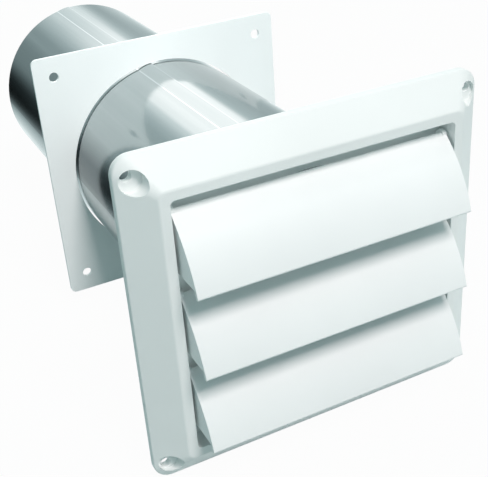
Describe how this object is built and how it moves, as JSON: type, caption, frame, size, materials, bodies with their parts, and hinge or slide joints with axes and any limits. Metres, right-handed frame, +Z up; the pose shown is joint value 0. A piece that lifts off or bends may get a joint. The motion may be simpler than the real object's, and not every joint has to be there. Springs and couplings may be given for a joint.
{
  "type": "louvred dryer vent cap",
  "caption": "White louvred wall hood with hinged flaps, an aluminium duct pushed onto its back collar and a loose square plate for the inside of the wall.",
  "frame": {"origin": "on the duct axis in the plane of the hood's wall face", "axes": "+Z up, -Y out of the wall towards the louvres, +Y along the duct into the wall, +X to the right seen from inside the wall's outer face looking in"},
  "size_m": [0.155, 0.3054, 0.144],
  "materials": {
    "white_plastic": "satin moulded white",
    "duct_metal": "rolled bright sheet",
    "plate_plastic": "smooth white"
  },
  "bodies": {
    "shell": {"hood": "white_plastic", "tail_pipe": "duct_metal"},
    "flap_upper": {"louvre_upper": "white_plastic"},
    "flap_middle": {"louvre_middle": "white_plastic"},
    "flap_lower": {"louvre_lower": "white_plastic"},
    "plate": {"wall_plate": "plate_plastic"}
  },
  "joints": [
    {"name": "flap_upper_hinge", "type": "hinge", "parent": "shell", "child": "flap_upper", "pos_m": [0, -0.0062, 0.0483], "axis": [-1, 0, 0], "range_deg": [0, 55]},
    {"name": "flap_middle_hinge", "type": "hinge", "parent": "shell", "child": "flap_middle", "pos_m": [0, -0.0062, 0.0133], "axis": [-1, 0, 0], "range_deg": [0, 55]},
    {"name": "flap_lower_hinge", "type": "hinge", "parent": "shell", "child": "flap_lower", "pos_m": [0, -0.0062, -0.0217], "axis": [-1, 0, 0], "range_deg": [0, 55]},
    {"name": "plate_slide", "type": "slide", "parent": "shell", "child": "plate", "axis": [0, 1, 0], "range_m": [-0.118, 0.13]}
  ]
}
